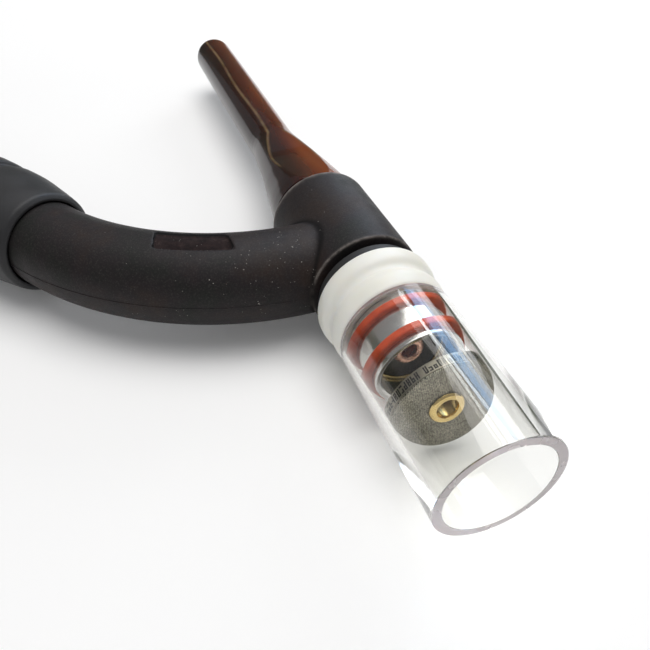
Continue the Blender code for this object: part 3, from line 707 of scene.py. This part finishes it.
def rubber_distance(points):
    """Distance to the outside of the moulding: head and neck, blended, less the label's recess."""
    radial = np.hypot(points[:, 1], points[:, 2])
    over = np.abs(points[:, 0] - (HEAD_FRONT + HEAD_REAR) / 2) - (HEAD_FRONT - HEAD_REAR) / 2
    edge = 0.35
    corner = np.stack([radial - HEAD_RADIUS + edge, over + edge], 1)
    head = np.linalg.norm(np.maximum(corner, 0), axis=1) + np.minimum(corner.max(1), 0) - edge
    run, rise = np.array([2.1, 1.45]) / math.hypot(2.1, 1.45)
    chamfer = (HEAD_REAR + 2.1 - points[:, 0]) * rise + (radial - HEAD_RADIUS) * run
    head = -smooth_min(-head, -chamfer, 0.25)
    along, side, height = neck_local(points)
    neck = np.hypot(side, height) - NECK_RADIUS
    whole = smooth_min(head, np.maximum(neck, -along - 4), 0.30)
    place = np.stack([along - LABEL_ALONG + LABEL_SHEAR * side, side - LABEL_SIDE], 1)
    reach = np.abs(place) - (np.array(LABEL_HALF) - 0.4)
    recess = np.linalg.norm(np.maximum(reach, 0), axis=1) + np.minimum(reach.max(1), 0) - 0.4
    recess = np.where(height > 0, np.maximum(recess, -LABEL_DEPTH - neck), 9.0)
    return -smooth_min(-whole, recess, 0.22)


def gradient(field, points, step=0.01):
    slope = np.stack([field(points + shift) - field(points - shift)
                      for shift in np.eye(3) * step], 1)
    return slope / np.maximum(np.linalg.norm(slope, axis=1, keepdims=True), 1e-9)


def make_rubber_body():
    """Remeshes the CAD moulding finely, then draws its outside onto the smooth form."""
    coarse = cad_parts["rubber_body"].copy()
    coarse.data = coarse.data.copy()
    bpy.context.scene.collection.objects.link(coarse)
    remesh = coarse.modifiers.new("fine", "REMESH")
    remesh.mode = "VOXEL"
    remesh.voxel_size = 0.32 * MM
    bpy.context.view_layer.update()
    graph = bpy.context.evaluated_depsgraph_get()
    mesh = bpy.data.meshes.new_from_object(coarse.evaluated_get(graph))
    bpy.data.objects.remove(coarse)
    mesh.name = "rubber_body_fine"
    mesh.transform(Matrix.Translation(-MOUTH))

    flat = np.empty(len(mesh.vertices) * 3, np.float32)
    mesh.vertices.foreach_get("co", flat)
    points = flat.reshape(-1, 3).astype(float) / MM
    outside = (np.abs(rubber_distance(points)) < 0.7) & (neck_local(points)[0] < BEND_LENGTH + 29.6)
    moved = points[outside]
    for _ in range(6):
        moved = moved - rubber_distance(moved)[:, None] * gradient(rubber_distance, moved)
    points[outside] = moved
    mesh.vertices.foreach_set("co", (points * MM).astype(np.float32).ravel())

    along, side, height = neck_local(points)
    near = (height > 0) & outside & (abs(along - LABEL_ALONG) < 10) & (abs(side) < 5)
    depth = np.where(near, NECK_RADIUS - np.hypot(side, height), 0)
    mesh.attributes.new("recess", "FLOAT", "POINT").data.foreach_set("value", depth)
    radial = np.hypot(points[:, 1], points[:, 2]) - HEAD_RADIUS
    # Mask for the painted highlight along the head's front and rear edges.
    edge = sum(np.exp(-(radial ** 2 + (points[:, 0] - station) ** 2) / spread)
               for station, spread in ((HEAD_REAR + 2.1, 0.42), (HEAD_FRONT - 0.1, 0.10)))
    edge = np.where(outside, edge, 0)
    # Mask for the painted shade along the fold where the neck meets the head.
    reach = np.hypot(radial, np.hypot(side, height) - NECK_RADIUS)
    crease_shade = np.where(outside & (along > 3), np.exp(-(reach / 0.55) ** 2), 0)
    mesh.attributes.new("crease_shade", "FLOAT", "POINT").data.foreach_set("value", crease_shade)
    mesh.attributes.new("edge", "FLOAT", "POINT").data.foreach_set("value", edge)
    mesh.shade_smooth()
    mesh.materials.clear()
    mesh.materials.append(MATERIALS["moulded_rubber"])
    item = bpy.data.objects.new("rubber_body_fine", mesh)
    bpy.context.scene.collection.objects.link(item)
    item.matrix_world = HEAD_AXIS
    dress(item, "torch", "moulded_rubber", "rubber_body")


def make_rubber_seams():
    """Fine flash where the halves of the mould met, in the torch's plane."""
    for name, sign in (("rubber_seam_outer", -1), ("rubber_seam_inner", 1)):
        path = []
        for distance in np.arange(13.0, BEND_LENGTH + 28, 0.6):
            point, way = neck_point(distance)
            path.append(point + sign * np.array([-way[1], way[0], 0]) * (NECK_RADIUS + 0.01))
        vertices, faces, sides = [], [], 8
        for i, (point, way) in enumerate(zip(path, np.gradient(np.array(path), axis=0))):
            out = np.array([-way[1], way[0], 0]) / np.linalg.norm(way)
            size = 0.10 * math.sin(math.pi * min(1, (i + 0.2) / 8, (len(path) - i) / 8) / 2)
            for k in range(sides):
                turn = TAU * k / sides
                vertices.append(tuple((point + out * size * math.cos(turn)
                                       + np.array([0, 0, 1.3 * size * math.sin(turn)])) * MM))
        for i in range(len(path) - 1):
            for k in range(sides):
                after = (k + 1) % sides
                faces.append((i * sides + k, i * sides + after, (i + 1) * sides + after,
                              (i + 1) * sides + k))
        faces += [tuple(range(sides)), tuple(len(vertices) - 1 - k for k in range(sides))]
        seam = mesh_object(name, vertices, faces, HEAD_AXIS, "moulded_rubber", 60)
        dress(seam, "torch", "moulded_rubber")


def finish_inner_nodes():
    """The pieces that stay hidden at rest keep the CAD's own meshes."""
    for node, material in (("torch_body", "brass"), ("collet", "copper"), ("neck_tube", "copper"),
                           ("cable_fitting", "brass")):
        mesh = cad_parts[node].data
        mesh.materials.clear()
        mesh.materials.append(MATERIALS[material])


make_rubber_body()
make_rubber_seams()
finish_inner_nodes()


# ---------------------------------------------------------------- studio

def make_floor():
    s = Shader("pale_floor", base_color=(0.93, 0.93, 0.925), specular_ior_level=0.2)
    s.set(roughness=s.maths("MULTIPLY_ADD", s.noise(40, 3), 0.1, 0.55))
    s.set(normal=s.bump(s.noise(900, 2), 0.02, 0.1))
    distance = s.node("VectorMath", "Value", {0: s.place()}, operation="LENGTH")
    s.set(emission_color=(1, 1, 1), emission_strength=s.ramp(distance, (0.12, 0.06), (0.6, 0.30)))
    size = 3.0
    mesh = bpy.data.meshes.new("floor")
    mesh.from_pydata([(-size, -size, 0), (size, -size, 0), (size, size, 0), (-size, size, 0)], [],
                     [(0, 1, 2, 3)])
    mesh.materials.append(s.material)
    floor = bpy.data.objects.new("floor", mesh)
    floor.location.z = -0.0004
    bpy.context.scene.collection.objects.link(floor)


def make_world():
    """Dim room that brightens overhead."""
    world = bpy.data.worlds.new("studio")
    bpy.context.scene.world = world
    world.use_nodes = True
    nodes, links = world.node_tree.nodes, world.node_tree.links
    parts = nodes.new("ShaderNodeSeparateXYZ")
    links.new(nodes.new("ShaderNodeTexCoord").outputs["Generated"], parts.inputs[0])
    ramp = nodes.new("ShaderNodeValToRGB")
    links.new(parts.outputs[2], ramp.inputs[0])
    ramp.color_ramp.elements[0].color = (0.28, 0.275, 0.27, 1)
    ramp.color_ramp.elements[1].color = (0.36, 0.37, 0.39, 1)
    links.new(ramp.outputs[0], nodes["Background"].inputs["Color"])
    nodes["Background"].inputs["Strength"].default_value = 1.0


def softbox(name, place, target, size, power, colour=(1, 1, 1), card=False, roll=0):
    """Soft lamp; a card is only seen in reflections."""
    light = bpy.data.lights.new(name, "AREA")
    light.shape = "RECTANGLE"
    light.size, light.size_y = size
    light.energy = power
    light.color = colour
    item = bpy.data.objects.new(name, light)
    bpy.context.scene.collection.objects.link(item)
    item.location = place
    aim = (Vector(target) - Vector(place)).to_track_quat("-Z", "Y")
    item.rotation_euler = (aim @ Quaternion((0, 0, 1), math.radians(roll))).to_euler()
    item.visible_diffuse = not card


def flag_material():
    s = Shader("flag", base_color=(0.13, 0.14, 0.11))
    s.set(roughness=s.maths("MULTIPLY_ADD", s.noise(30), 0.1, 0.7))
    return s.material


def flag(name, material, place, width, height, turn=0):
    """Dark upright card that only shows in reflections, so that the glass keeps its edges."""
    mesh = bpy.data.meshes.new(name)
    mesh.from_pydata([(-width / 2, 0, 0), (width / 2, 0, 0), (width / 2, 0, height),
                      (-width / 2, 0, height)], [], [(0, 1, 2, 3)])
    mesh.materials.append(material)
    item = bpy.data.objects.new(name, mesh)
    bpy.context.scene.collection.objects.link(item)
    item.location = place
    item.rotation_euler.z = math.radians(turn)
    item.visible_camera = item.visible_shadow = item.visible_diffuse = False


def make_camera():
    data = bpy.data.cameras.new("camera")
    data.lens = 35.22
    data.sensor_width = 36
    data.clip_start = 0.005
    camera = bpy.data.objects.new("camera", data)
    bpy.context.scene.collection.objects.link(camera)
    right = Vector((0.34539, 0.93844, 0.00623))
    down = Vector((0.63147, -0.22749, -0.74128))
    forward = Vector((-0.69423, 0.25996, -0.67117))
    turn = Matrix((right, -down, -forward)).transposed().to_4x4()
    camera.matrix_world = Matrix.Translation(MOUTH + MM * Vector((40.14, -42.56, 79.45))) @ turn
    bpy.context.scene.camera = camera


def deepen_light_paths():
    """Enough bounces for light to leave the clear cup, whose edges turn black without them."""
    paths = bpy.context.scene.cycles
    paths.max_bounces = paths.glossy_bounces = paths.transmission_bounces = LIGHT_BOUNCES


make_floor()
make_world()
softbox("overhead", (-0.05, 0.10, 0.80), (0, 0, 0), (0.7, 0.7), 5.0, (1.0, 0.985, 0.97))
softbox("window", (-0.42, 0.48, 0.24), (0.06, 0.06, 0.01), (0.30, 0.34), 1.0, (0.92, 0.95, 1.0))
softbox("sky", (-0.170, 0.288, 0.313), (0.081, 0.06, 0.024), (0.22, 0.12), 0.36,
        (0.34, 0.60, 1.0), card=True, roll=-47)
softbox("streak", (-0.172, 0.200, 0.364), (0.081, 0.06, 0.024), (0.24, 0.034), 0.24,
        (0.92, 0.97, 1.0), card=True, roll=-42)
softbox("side", (0.0, 0.8, 0.25), (0.05, 0.06, 0.0), (1.0, 0.4), 0.9, card=True)
dark = flag_material()
flag("flag_right", dark, (0.02, 0.17, 0.0), 0.22, 0.075)
flag("flag_left", dark, (0.02, -0.16, 0.0), 0.30, 0.09)
flag("flag_rear", dark, (-0.30, 0.10, 0.0), 0.26, 0.15, 90)
make_camera()
bpy.context.scene.view_settings.view_transform = "Standard"
deepen_light_paths()


def corners(pair):
    return [[round(value, 6) for value in corner] for corner in pair]
